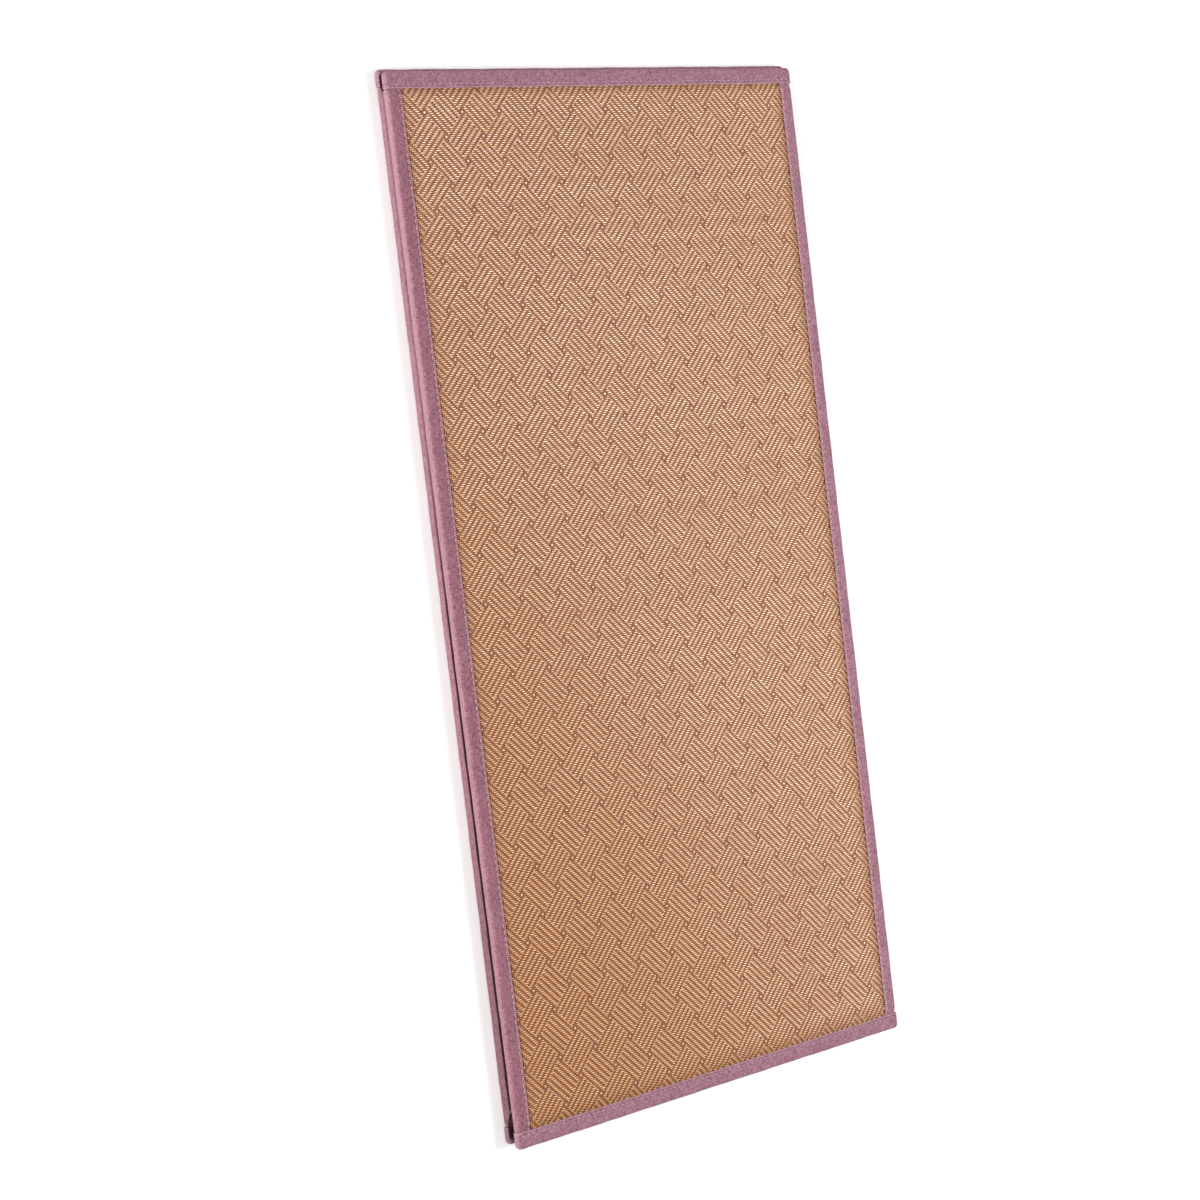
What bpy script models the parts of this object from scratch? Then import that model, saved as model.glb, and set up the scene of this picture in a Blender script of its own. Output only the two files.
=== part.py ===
"""A folding tatami mat, folded once and lying flat: two padded panels joined along one long side.

X runs across the mat, from the fold at -X to the open side at +X. Y runs along it. Z points up,
out of the front panel's woven face, and the back panel lies underneath. Lengths are in metres.
"""
import math

import bmesh
import bpy

# Driving dimensions
LENGTH = 1.000            # one panel along Y, over its end bindings
WIDTH = 0.500             # one panel along X, over its side tapes
PAD_T = 0.0082            # full thickness of a panel, and over its side tapes
END_T = 0.0074            # thickness over an end binding, which presses the pad more
TAPE_T = 0.0010           # thickness of the binding cloth
GAP = 0.0003              # air between pieces that touch
SIDE_TAPE = 0.0145        # width of a side tape on a face
END_TAPE = 0.0160         # width of an end binding on a face
EDGE_R = 0.0030           # outer radius of a tape where it turns round an edge
CORNER_R = 0.0046         # radius of an end binding's corners, seen from above
PANEL_SHIFT = 0.0035      # how far the back panel lies towards +Y of the front panel

# The space between the panels, which the fold holds open
GAP_FOLD_TOP = 0.0022     # at the fold, at the +Y end
GAP_FOLD_BOTTOM = 0.0066  # at the fold, at the -Y end
GAP_OPEN_SIDE = 0.0004    # at the open side, where the front panel lies on the back one

# The crease of the hinge strip, between its two rounded lobes
CREASE_GAP_TOP = 0.0007
CREASE_GAP_BOTTOM = 0.0022
CREASE_DEPTH_TOP = 0.0038
CREASE_DEPTH_BOTTOM = 0.0090
CREASE_LEAN_TOP = 0.15    # 0 puts the crease against the back lobe's panel, 1 against the front's
CREASE_LEAN_BOTTOM = 0.90
NOTCH_TOP = 0.007         # length over which the crease opens out before the +Y end bindings
NOTCH_BOTTOM = 0.022      # the same before the -Y end bindings
NOTCH_CLEAR = 0.0005      # from the end of a lobe to its end binding
LOBE_TRIM = 0.0003        # taken off a lobe's inner side at the notch's mouth
TAB_REACH = 0.0006        # how far a strip's end reaches past its panel's middle plane

# Where the pad is pressed in beside a tape
TAPE_MARGIN = 0.0005      # flat stretch past the tape's edge
RAMP = 0.0060             # length of the slope back to full thickness
RAMP_STEPS = 3

# Fineness
MIDDLE_CELLS_X = 4
MIDDLE_CELLS_Y = 8
ARC_STEPS = 3
TURN_STEPS = 4
CORNER_STEPS = 3

# Worked out from the driving dimensions
INSET = TAPE_T + GAP                          # from a tape's outside to what it wraps
SIDE_PRESS = TAPE_T + GAP
END_PRESS = (PAD_T - END_T) / 2 + TAPE_T + GAP
PAD_X = WIDTH / 2 - INSET
PAD_Y = LENGTH / 2 - INSET
TAPE_Y = LENGTH / 2 - CORNER_R                # where the side tapes end, inside the end bindings
PAD_EDGE_R = EDGE_R - INSET
PAD_CORNER_R = CORNER_R - 2 * INSET
FRONT_Y = -PANEL_SHIFT / 2
BACK_Y = PANEL_SHIFT / 2

RUSH = {"colour": (0.56, 0.31, 0.13), "roughness": 0.62, "metallic": 0.0}
CLOTH = {"colour": (0.36, 0.17, 0.22), "roughness": 0.88, "metallic": 0.0}


def lerp(start, end, t):
    return start + (end - start) * t


def smooth(t):
    """A soft step from 0 to 1."""
    t = min(1.0, max(0.0, t))
    return t * t * (3 - 2 * t)


def along(y):
    """0 at the +Y end of the mat, 1 at its -Y end."""
    return 0.5 - y / LENGTH


def pressed(distance, tape_width, depth):
    """How far a face is pressed in, at a distance inwards from a bound edge."""
    return depth * (1 - smooth((distance - tape_width - TAPE_MARGIN) / RAMP))


def pressed_by_end(y):
    return pressed(LENGTH / 2 - abs(y), END_TAPE, END_PRESS)


def pad_half(x, y):
    """Half the pad's thickness: full in the middle, thinner under each tape."""
    by_side = pressed(WIDTH / 2 - abs(x), SIDE_TAPE, SIDE_PRESS)
    return PAD_T / 2 - by_side - pressed_by_end(y)


def tape_half(y):
    """Half the thickness over a side tape, which dips under the end bindings."""
    return PAD_T / 2 - pressed_by_end(y)


def space(x, y):
    """The space between the two panels' facing sides."""
    at_fold = lerp(GAP_FOLD_TOP, GAP_FOLD_BOTTOM, along(y))
    return lerp(at_fold, GAP_OPEN_SIDE, 0.5 + x / WIDTH)


def middle_plane(front, x, y):
    """Height of a panel's middle plane."""
    return 1.5 * PAD_T + space(x, y) if front else PAD_T / 2


def placed(front, x, y, z):
    """A point given from a panel's own middle, moved to where that panel lies."""
    return x, y + (FRONT_Y if front else BACK_Y), z + middle_plane(front, x, y)


def arc(centre_x, centre_z, radius, first, last, steps):
    """Points on an arc, angles in degrees."""
    angles = [math.radians(lerp(first, last, i / steps)) for i in range(steps + 1)]
    return [(centre_x + radius * math.cos(a), centre_z + radius * math.sin(a)) for a in angles]


def ramp_places(half_span, tape_width):
    """Places down the slope beside a tape, from its foot to full thickness."""
    foot = half_span - tape_width - TAPE_MARGIN
    return [foot - RAMP * i / RAMP_STEPS for i in range(RAMP_STEPS + 1)]


def rim(edge):
    """Places and height factors round the pad's rim, from its middle plane to its face."""
    full = PAD_T / 2 - SIDE_PRESS
    diagonal = 1 - math.sqrt(0.5)
    return [
        (edge, 0.0),
        (edge, 1 - PAD_EDGE_R / full),
        (edge - PAD_EDGE_R * diagonal, 1 - PAD_EDGE_R * diagonal / full),
        (edge - PAD_EDGE_R, 1.0),
    ]


def both_sides(from_edge, cells):
    """Mirror a list of places from the edge, with evenly spaced ones between the two halves."""
    inner = from_edge[-1][0]
    between = [(inner - 2 * inner * i / cells, 1.0) for i in range(1, cells)]
    return from_edge + between + [(-place, factor) for place, factor in reversed(from_edge)]


def pad_stations_y():
    slope = [(place, 1.0) for place in ramp_places(LENGTH / 2, END_TAPE)]
    corner = [(PAD_Y - PAD_CORNER_R, 1.0)]
    return both_sides(rim(PAD_Y) + corner + slope, MIDDLE_CELLS_Y)


def pad_stations_x():
    slope = [(place, 1.0) for place in ramp_places(WIDTH / 2, SIDE_TAPE)]
    return both_sides(rim(PAD_X) + slope, MIDDLE_CELLS_X)


def tape_stations():
    """Places along a side tape: its two ends and the pad's own places between them."""
    inside = [place for place, factor in pad_stations_y() if abs(place) < TAPE_Y]
    return [TAPE_Y] + inside + [-TAPE_Y]


def corner_inset(y):
    """How far the pad's side is drawn in at a height of its rounded corner."""
    past = abs(y) - (PAD_Y - PAD_CORNER_R)
    if past <= 0:
        return 0.0
    return PAD_CORNER_R - math.sqrt(max(0.0, PAD_CORNER_R ** 2 - past ** 2))


def make_material(name, finish):
    material = bpy.data.materials.new(name)
    material.use_nodes = True
    shader = material.node_tree.nodes["Principled BSDF"]
    shader.inputs["Base Color"].default_value = (*finish["colour"], 1.0)
    shader.inputs["Roughness"].default_value = finish["roughness"]
    shader.inputs["Metallic"].default_value = finish["metallic"]
    material.diffuse_color = (*finish["colour"], 1.0)
    return material


def add_object(name, bm, finish, collection):
    """Turn a bmesh into a named object with its own material."""
    mesh = bpy.data.meshes.new(name)
    bm.to_mesh(mesh)
    bm.free()
    piece = bpy.data.objects.new(name, mesh)
    collection.objects.link(piece)
    mesh.materials.append(make_material(name, finish))
    mesh.shade_smooth()
    mesh.set_sharp_from_angle(angle=math.radians(40))
    return piece


def shaped_grid(columns, rows, point):
    """A grid whose vertex at a column and a row is moved to point(column, row)."""
    bm = bmesh.new()
    made = bmesh.ops.create_grid(bm, x_segments=columns - 1, y_segments=rows - 1, size=1.0)
    for vert in made["verts"]:
        column = round((vert.co.x + 1) / 2 * (columns - 1))
        row = round((vert.co.y + 1) / 2 * (rows - 1))
        vert.co = point(column, row)
    return bm


def make_pad(name, front, collection):
    """A padded panel: its upper half is one shaped grid, which is mirrored down and welded."""
    xs = pad_stations_x()
    ys = pad_stations_y()

    def upper(column, row):
        x, side = xs[column]
        y, end = ys[row]
        z = pad_half(x, y) * side * end
        x *= 1 - corner_inset(y) / PAD_X
        return x, y, z

    bm = shaped_grid(len(xs), len(ys), upper)
    everything = bm.verts[:] + bm.edges[:] + bm.faces[:]
    bmesh.ops.mirror(bm, geom=everything, axis="Z", merge_dist=1e-7)
    bmesh.ops.remove_doubles(bm, verts=bm.verts[:], dist=1e-6)
    bmesh.ops.recalc_face_normals(bm, faces=bm.faces[:])
    for vert in bm.verts:
        vert.co = placed(front, *vert.co)
    return add_object(name, bm, RUSH, collection)


def make_tape(name, path, stations, collection):
    """A bent tape: a surface along its outer side, thickened inwards."""
    sections = [path(y) for y in stations]
    bm = shaped_grid(len(sections[0]), len(stations), lambda column, row: sections[row][column])
    piece = add_object(name, bm, CLOTH, collection)
    solidify = piece.modifiers.new("cloth thickness", "SOLIDIFY")
    solidify.thickness = TAPE_T
    solidify.offset = -1.0
    solidify.use_even_offset = True
    return piece


def make_side_binding(name, front, collection):
    """The tape folded round a panel's open long side."""

    def path(y):
        half = tape_half(y)
        radius = min(EDGE_R, half - 0.0002)
        centre = WIDTH / 2 - radius
        flap = WIDTH / 2 - SIDE_TAPE
        outline = [(flap, -half)]
        outline += arc(centre, radius - half, radius, -90, 0, ARC_STEPS)
        outline += arc(centre, half - radius, radius, 0, 90, ARC_STEPS)
        outline += [(flap, half)]
        return [placed(front, x, y, z) for x, z in outline]

    return make_tape(name, path, tape_stations(), collection)


def crease_middle(y, opening):
    """Height of the crease, leaning from the back panel's side to the front's."""
    lowest = PAD_T + opening / 2
    slack = space(-WIDTH / 2, y) - opening
    lean = lerp(CREASE_LEAN_TOP, CREASE_LEAN_BOTTOM, smooth(along(y)))
    return lowest + lean * slack


def strip_path(y):
    """The hinge strip's outside at one place: a lobe round each panel's side, a crease between."""
    half = tape_half(y)
    radius = min(EDGE_R, half - 0.0002)
    fold = -WIDTH / 2
    centre = fold + radius
    flap = fold + SIDE_TAPE
    opening = lerp(CREASE_GAP_TOP, CREASE_GAP_BOTTOM, along(y))
    depth = fold + lerp(CREASE_DEPTH_TOP, CREASE_DEPTH_BOTTOM, smooth(along(y)))
    crease = crease_middle(y, opening)
    front_corner = half - radius
    back_corner = PAD_T / 2 - half + radius

    outline = [placed(True, flap, y, half)]
    outline += [placed(True, x, y, z) for x, z in arc(centre, front_corner, radius, 90, 180, ARC_STEPS)]
    inner = arc(fold + EDGE_R, crease + opening / 2 + EDGE_R, EDGE_R, 180, 270, ARC_STEPS)
    outline += [(x, y + FRONT_Y, z) for x, z in inner]
    turn = arc(depth, crease, opening / 2, 90, -90, TURN_STEPS)
    for i, (x, z) in enumerate(turn):
        outline.append((x, y + lerp(FRONT_Y, BACK_Y, i / TURN_STEPS), z))
    inner = arc(fold + EDGE_R, crease - opening / 2 - EDGE_R, EDGE_R, 90, 180, ARC_STEPS)
    outline += [(x, y + BACK_Y, z) for x, z in inner]
    outline += [(x, y + BACK_Y, z) for x, z in arc(centre, back_corner, radius, 180, 270, ARC_STEPS)]
    outline += [(flap, y + BACK_Y, PAD_T / 2 - half)]
    return outline


def make_notch(end, collection):
    """A wedge that opens the crease before the end bindings and parts the strip's end in two."""
    mouth = end * (LENGTH / 2 - END_TAPE - NOTCH_CLEAR)
    tip = mouth - end * (NOTCH_TOP if end > 0 else NOTCH_BOTTOM)
    past = end * (LENGTH / 2 + END_TAPE)
    opening = lerp(CREASE_GAP_TOP, CREASE_GAP_BOTTOM, along(tip))
    lobe = tape_half(mouth) - LOBE_TRIM
    front_middle = middle_plane(True, -WIDTH / 2, mouth)
    back_middle = PAD_T / 2
    outline = [
        (tip, crease_middle(tip, opening)),
        (mouth + FRONT_Y, front_middle - lobe),
        (mouth + FRONT_Y, front_middle - TAB_REACH),
        (past, front_middle - TAB_REACH),
        (past, back_middle + TAB_REACH),
        (mouth + BACK_Y, back_middle + TAB_REACH),
        (mouth + BACK_Y, back_middle + lobe),
    ]

    bm = bmesh.new()
    left = -WIDTH / 2 - END_TAPE
    right = -WIDTH / 2 + 2 * CREASE_DEPTH_BOTTOM
    face = bm.faces.new([bm.verts.new((left, y, z)) for y, z in outline])
    grown = bmesh.ops.extrude_face_region(bm, geom=[face])
    for item in grown["geom"]:
        if isinstance(item, bmesh.types.BMVert):
            item.co.x = right
    bmesh.ops.recalc_face_normals(bm, faces=bm.faces[:])
    cutter = add_object("notch_top" if end > 0 else "notch_bottom", bm, CLOTH, collection)
    cutter.hide_render = True
    cutter.display_type = "WIRE"
    return cutter


def make_hinge_strip(name, collection, cutters):
    """The wide tape that binds the fold side of both panels and is their cloth hinge."""
    strip = make_tape(name, strip_path, tape_stations(), collection)
    for end in (1, -1):
        cut = strip.modifiers.new("notch", "BOOLEAN")
        cut.operation = "DIFFERENCE"
        cut.object = make_notch(end, cutters)
    return strip


def make_end_binding(name, front, end, collection):
    """The tape over a panel's short end: a cap with closed ends and rounded edges."""
    half_x = WIDTH / 2 + INSET
    half_z = END_T / 2
    outer = end * LENGTH / 2
    inner = end * (LENGTH / 2 - END_TAPE)
    tiny = 1e-6

    bm = bmesh.new()
    bmesh.ops.create_cube(bm, size=1.0)
    bmesh.ops.scale(bm, vec=(2 * half_x, END_TAPE, 2 * half_z), verts=bm.verts[:])
    bmesh.ops.translate(bm, vec=(0, (outer + inner) / 2, 0), verts=bm.verts[:])

    def at_outer_end(vert):
        return abs(vert.co.y - outer) < tiny

    upright = [
        edge for edge in bm.edges
        if all(at_outer_end(v) for v in edge.verts) and abs(edge.verts[0].co.x - edge.verts[1].co.x) < tiny
    ]
    bmesh.ops.bevel(bm, geom=upright, offset=CORNER_R, segments=CORNER_STEPS, profile=0.5, affect="EDGES")

    def is_open_side(face):
        return all(abs(v.co.y - inner) < tiny for v in face.verts)

    outline = [
        edge for edge in bm.edges
        if abs(edge.verts[0].co.z - edge.verts[1].co.z) < tiny
        and not any(is_open_side(face) for face in edge.link_faces)
    ]
    bmesh.ops.bevel(bm, geom=outline, offset=EDGE_R, segments=ARC_STEPS, profile=0.5, affect="EDGES")
    bmesh.ops.delete(bm, geom=[face for face in bm.faces if is_open_side(face)], context="FACES_ONLY")
    for vert in bm.verts:
        vert.co = placed(front, *vert.co)

    piece = add_object(name, bm, CLOTH, collection)
    solidify = piece.modifiers.new("cloth thickness", "SOLIDIFY")
    solidify.thickness = TAPE_T
    solidify.offset = -1.0
    solidify.use_even_offset = True
    return piece


def main():
    for old in list(bpy.data.objects):
        bpy.data.objects.remove(old, do_unlink=True)
    mat = bpy.data.collections.new("tatami_mat")
    cutters = bpy.data.collections.new("cutters")
    bpy.context.scene.collection.children.link(mat)
    bpy.context.scene.collection.children.link(cutters)

    make_hinge_strip("hinge_strip", mat, cutters)
    for front, side in ((True, "front"), (False, "back")):
        make_pad("panel_" + side, front, mat)
        make_side_binding("side_binding_" + side, front, mat)
        make_end_binding("end_binding_" + side + "_top", front, 1, mat)
        make_end_binding("end_binding_" + side + "_bottom", front, -1, mat)


main()
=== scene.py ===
# %% [markdown]
# # A folding tatami mat
#
# The mat is two padded panels with a woven rush face, bound all round in mauve cloth tape and
# joined along one long side by a wide tape that is their hinge. Here it is folded once and lies
# flat, so one woven face looks up and the other looks down.
#
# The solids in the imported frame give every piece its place. Each of them is soft cloth or a soft
# pad, so each gets a finer piece here that lies in the same space.

# %% Load the fixed frame
import math

import bmesh
import bpy
import numpy as np
from mathutils import Matrix, Vector


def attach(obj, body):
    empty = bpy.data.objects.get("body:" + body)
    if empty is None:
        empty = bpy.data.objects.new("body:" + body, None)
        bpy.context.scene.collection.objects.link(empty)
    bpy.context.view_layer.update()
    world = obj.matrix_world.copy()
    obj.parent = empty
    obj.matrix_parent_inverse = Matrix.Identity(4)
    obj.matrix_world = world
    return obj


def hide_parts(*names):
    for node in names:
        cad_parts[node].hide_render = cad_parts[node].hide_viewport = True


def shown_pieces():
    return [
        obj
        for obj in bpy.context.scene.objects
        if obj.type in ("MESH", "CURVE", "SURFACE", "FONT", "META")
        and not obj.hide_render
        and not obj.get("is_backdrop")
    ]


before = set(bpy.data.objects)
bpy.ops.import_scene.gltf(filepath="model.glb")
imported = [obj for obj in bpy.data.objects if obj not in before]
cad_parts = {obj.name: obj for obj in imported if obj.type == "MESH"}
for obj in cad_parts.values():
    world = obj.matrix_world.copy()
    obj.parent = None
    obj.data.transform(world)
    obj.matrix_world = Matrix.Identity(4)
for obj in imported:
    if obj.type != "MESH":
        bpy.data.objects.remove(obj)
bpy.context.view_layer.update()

# %% [markdown]
# ## Sizes and the shape of a panel
#
# The same named sizes that shape the solids are repeated, in metres. A panel is described from its
# own middle: X across, Y along, Z up out of its woven face. The face is full in the middle and is
# pressed in beside the tapes, which lie level with it.

# %% Sizes shared with the solids
LENGTH, WIDTH = 1.000, 0.500
PAD_T, END_T, TAPE_T, GAP = 0.0082, 0.0074, 0.0010, 0.0003
SIDE_TAPE, END_TAPE = 0.0145, 0.0160
EDGE_R, CORNER_R = 0.0030, 0.0046
PANEL_SHIFT = 0.0035
GAP_FOLD_TOP, GAP_FOLD_BOTTOM, GAP_OPEN_SIDE = 0.0022, 0.0066, 0.0004
CREASE_GAP_TOP, CREASE_GAP_BOTTOM = 0.0007, 0.0022
CREASE_DEPTH_TOP, CREASE_DEPTH_BOTTOM = 0.0038, 0.0090
CREASE_LEAN_TOP, CREASE_LEAN_BOTTOM = 0.15, 0.90
NOTCH_TOP, NOTCH_BOTTOM, NOTCH_CLEAR = 0.007, 0.022, 0.0005
LOBE_TRIM, TAB_REACH = 0.0003, 0.0006
TAPE_MARGIN, RAMP = 0.0005, 0.0060

INSET = TAPE_T + GAP
SIDE_PRESS = TAPE_T + GAP
END_PRESS = (PAD_T - END_T) / 2 + TAPE_T + GAP
PAD_X, PAD_Y = WIDTH / 2 - INSET, LENGTH / 2 - INSET
INNER_X, INNER_Y = WIDTH / 2 - SIDE_TAPE, LENGTH / 2 - END_TAPE
TAPE_Y = LENGTH / 2 - CORNER_R
PAD_EDGE_R = EDGE_R - INSET
FRONT_Y, BACK_Y = -PANEL_SHIFT / 2, PANEL_SHIFT / 2


# %% The rules that shape a panel
def lerp(start, end, t):
    return start + (end - start) * t


def smooth(t):
    """A soft step from 0 to 1."""
    t = min(1.0, max(0.0, t))
    return t * t * (3 - 2 * t)


def along(y):
    """0 at the +Y end of the mat, 1 at its -Y end."""
    return 0.5 - y / LENGTH


def pressed(distance, tape_width, depth):
    """How far a face is pressed in, at a distance inwards from a bound edge."""
    return depth * (1 - smooth((distance - tape_width - TAPE_MARGIN) / RAMP))


def pad_half(x, y):
    """Half the pad's thickness: full in the middle, thinner beside and under each tape."""
    by_side = pressed(WIDTH / 2 - abs(x), SIDE_TAPE, SIDE_PRESS)
    by_end = pressed(LENGTH / 2 - abs(y), END_TAPE, END_PRESS)
    return PAD_T / 2 - by_side - by_end


def tape_half(y):
    """Half the thickness over a side tape, which dips under the end bindings."""
    return PAD_T / 2 - pressed(LENGTH / 2 - abs(y), END_TAPE, END_PRESS)


def space(x, y):
    """The space between the two panels' facing sides."""
    at_fold = lerp(GAP_FOLD_TOP, GAP_FOLD_BOTTOM, along(y))
    return lerp(at_fold, GAP_OPEN_SIDE, 0.5 + x / WIDTH)


def middle_plane(front, x, y):
    """Height of a panel's middle plane."""
    return 1.5 * PAD_T + space(x, y) if front else PAD_T / 2


def placed(front, x, y, z):
    """A point given from a panel's own middle, moved to where that panel lies."""
    return x, y + (FRONT_Y if front else BACK_Y), z + middle_plane(front, x, y)


print("a panel is", WIDTH * 1000, "by", LENGTH * 1000, "by", PAD_T * 1000, "mm")

# %% [markdown]
# ## Camera, floor and light
#
# The camera looks down on the fold side from a little way off, with a long lens, so the far end
# of the mat narrows only slightly. It is rolled until the mat's long side runs up the picture. A
# large soft light on the fold side brightens the rounded side of the tapes. A pale sky, made after
# the finishes, fills in.

# %% Camera
LENS_MM, SENSOR_MM = 79.97, 36.0
camera_place = Vector((-1.6455, 0.1418, 2.0279))
camera_back = Vector((-0.6143, 0.0589, 0.7869)).normalized()
camera_up = Vector((0.1294, 0.9912, 0.0268))
scene = bpy.context.scene


def add_object(name, data):
    """A new object in the scene."""
    thing = bpy.data.objects.new(name, data)
    scene.collection.objects.link(thing)
    return thing


camera_data = bpy.data.cameras.new("camera")
camera_data.lens, camera_data.sensor_width = LENS_MM, SENSOR_MM
camera = add_object("camera", camera_data)
camera_up = (camera_up - camera_back * camera_up.dot(camera_back)).normalized()
camera_right = camera_up.cross(camera_back)
turned = Matrix((camera_right, camera_up, camera_back)).transposed()
camera.matrix_world = Matrix.Translation(camera_place) @ turned.to_4x4()
scene.camera = camera
print("camera", round(camera_place.length, 2), "m from the middle of the mat")


# %% Floor and soft light
def add_area_light(name, place, target, size, power, colour):
    data = bpy.data.lights.new(name, "AREA")
    data.shape = "RECTANGLE"
    data.size, data.size_y = size
    data.energy = power
    data.color = colour
    lamp = add_object(name, data)
    lamp.location = place
    lamp.rotation_euler = (Vector(target) - Vector(place)).to_track_quat("-Z", "Y").to_euler()


def finished_mesh(bm, name):
    """A plain mesh from one that was being edited."""
    mesh = bpy.data.meshes.new(name)
    bm.to_mesh(mesh)
    bm.free()
    return mesh


FLOOR_HALF, FLOOR_BELOW = 1.6, 0.0003
floor_bm = bmesh.new()
bmesh.ops.create_grid(floor_bm, x_segments=1, y_segments=1, size=FLOOR_HALF)
bmesh.ops.translate(floor_bm, vec=(0, 0, -FLOOR_BELOW), verts=floor_bm.verts[:])
floor = add_object("floor", finished_mesh(floor_bm, "floor"))
floor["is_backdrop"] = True

# A name, place, target, size in metres, power in watts and colour for each light.
add_area_light("window side", (-4.5, 0.4, 1.8), (0.0, 0.0, 0.0), (5.0, 3.0), 400.0, (1.0, 0.99, 0.98))
add_area_light("overhead", (1.1, -0.2, 1.7), (0.1, 0.0, 0.0), (1.2, 1.2), 34.0, (1.0, 1.0, 1.0))
scene.view_settings.view_transform = "Standard"
print("two soft lights")

# %% [markdown]
# ## Building node trees in a script
#
# Geometry Nodes and materials are both trees of nodes. A small class lets the outputs of nodes be
# added, subtracted, multiplied and divided like plain numbers: each sum makes one Math node in
# their tree. A few helpers keep the cells that follow short.


# %% Helpers for node trees
class Output:
    """One output of a node. A sum with it adds a Math node to its tree."""

    def __init__(self, tree, socket):
        self.tree, self.socket = tree, socket

    def __add__(self, other):
        return maths("ADD", self, other)

    def __sub__(self, other):
        return maths("SUBTRACT", self, other)

    def __rsub__(self, other):
        return maths("SUBTRACT", other, self)

    def __mul__(self, other):
        return maths("MULTIPLY", self, other)

    def __truediv__(self, other):
        return maths("DIVIDE", self, other)

    def __rtruediv__(self, other):
        return maths("DIVIDE", other, self)

    def __abs__(self):
        return maths("ABSOLUTE", self)


class Node:
    """A node in a tree, with its outputs by name or by number."""

    def __init__(self, tree, node):
        self.tree, self.node = tree, node

    def __getitem__(self, key):
        return Output(self.tree, self.node.outputs[key])

    def take(self, inputs):
        """Give inputs a plain value, or link them to another node's output."""
        for name, value in inputs.items():
            socket = self.node.inputs[name]
            if isinstance(value, Output):
                self.tree.links.new(value.socket, socket)
            else:
                socket.default_value = value


def add_node(tree, kind, inputs=None, **settings):
    node = Node(tree, tree.nodes.new(kind))
    for name, value in settings.items():
        setattr(node.node, name, value)
    node.take(inputs or {})
    return node


def maths(operation, *values):
    tree = next(value.tree for value in values if isinstance(value, Output))
    return add_node(tree, "ShaderNodeMath", dict(enumerate(values)), operation=operation)[0]


def vector(tree, **parts):
    return add_node(tree, "ShaderNodeCombineXYZ", parts)[0]


def parts_of(whole):
    return add_node(whole.tree, "ShaderNodeSeparateXYZ", {0: whole})


def ranged(value, limits, to=(0.0, 1.0), curve="SMOOTHSTEP"):
    """A value between two limits, spread between two others."""
    ends = {"From Min": limits[0], "From Max": limits[1], "To Min": to[0], "To Max": to[1]}
    return add_node(value.tree, "ShaderNodeMapRange", {"Value": value, **ends}, interpolation_type=curve)[0]


def noise(place, scale, detail, roughness=0.5):
    inputs = {"Vector": place, "Scale": scale, "Detail": detail, "Roughness": roughness}
    return add_node(place.tree, "ShaderNodeTexNoise", inputs)[0]


def colour_mix(factor, first, second):
    return add_node(factor.tree, "ShaderNodeMix", {0: factor, 6: first, 7: second}, data_type="RGBA")[2]


def new_group(name, kind, inputs, outputs):
    """An empty group with named sockets. Returns its tree, the node of its inputs and that of its outputs."""
    tree = bpy.data.node_groups.new(name, kind)
    for label, holds, default in inputs:
        socket = tree.interface.new_socket(name=label, in_out="INPUT", socket_type="NodeSocket" + holds)
        if default is not None:
            socket.default_value = default
    for label, holds in outputs:
        tree.interface.new_socket(name=label, in_out="OUTPUT", socket_type="NodeSocket" + holds)
    return tree, add_node(tree, "NodeGroupInput"), add_node(tree, "NodeGroupOutput")


# %% [markdown]
# ## Surface effects that several finishes share
#
# Cloth, thread and rush all have fine structure that a flat colour hides. Each effect is one
# shader group with named inputs: a plain weave for cloth, soft uneven patches for dye and wear,
# long fibres for the rush yarns, and the sewn edge of a tape. A group only gives masks and heights,
# and the shader itself stays in each material.

# %% Plain weave
SLUB_LENGTH, SLUB_WIDTH = 0.0055, 0.0008
NAP_PER_METRE = 420.0
THREAD_SHARE, NAP_SHARE = 0.34, 0.32
TONE_DARKEST, TONE_PALEST = 0.43, 0.57
weave_group, given, result = new_group(
    "plain weave", "ShaderNodeTree",
    [("Flat Cloth", "Vector", None), ("Thread Pitch", "Float", 0.0006)],
    [("Height", "Float"), ("Thread Tone", "Float")],
)
cloth = parts_of(given["Flat Cloth"])
turn = math.pi / given["Thread Pitch"]
crossing = abs(maths("SINE", cloth["X"] * turn) * maths("SINE", cloth["Y"] * turn))


def thread_streaks(run, width):
    """Threads of uneven tone: long one way, one thread wide the other way."""
    return noise(vector(weave_group, X=cloth["X"] * (1 / run), Y=cloth["Y"] * (1 / width)), 1.0, 1.0)


threads = thread_streaks(SLUB_LENGTH, SLUB_WIDTH) + thread_streaks(SLUB_WIDTH, SLUB_LENGTH)
nap = noise(given["Flat Cloth"], NAP_PER_METRE, 4.0, 0.75)
mixed = threads * THREAD_SHARE + nap * NAP_SHARE
result.take({
    "Height": maths("POWER", crossing, 0.6),
    "Thread Tone": ranged(mixed, (TONE_DARKEST, TONE_PALEST), curve="LINEAR"),
})

# %% Soft patches
patch_group, given, result = new_group(
    "soft patches", "ShaderNodeTree",
    [("Place", "Vector", None), ("Patches Per Metre", "Float", 20.0)], [("Mask", "Float")],
)
cloud = noise(given["Place"], given["Patches Per Metre"], 3.0, 0.55)
result.take({"Mask": ranged(cloud, (0.32, 0.68))})

# %% Long fibres
fibre_group, given, result = new_group(
    "long fibres", "ShaderNodeTree",
    [("Place", "Vector", None), ("Fibre Length", "Float", 0.004), ("Fibre Width", "Float", 0.0002)],
    [("Streak", "Float")],
)
place = parts_of(given["Place"])
stretched = vector(
    fibre_group, X=place["X"] / given["Fibre Length"],
    Y=place["Y"] / given["Fibre Width"], Z=place["Z"] / given["Fibre Width"],
)
result.take({"Streak": noise(stretched, 1.0, 2.0)})

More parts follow.
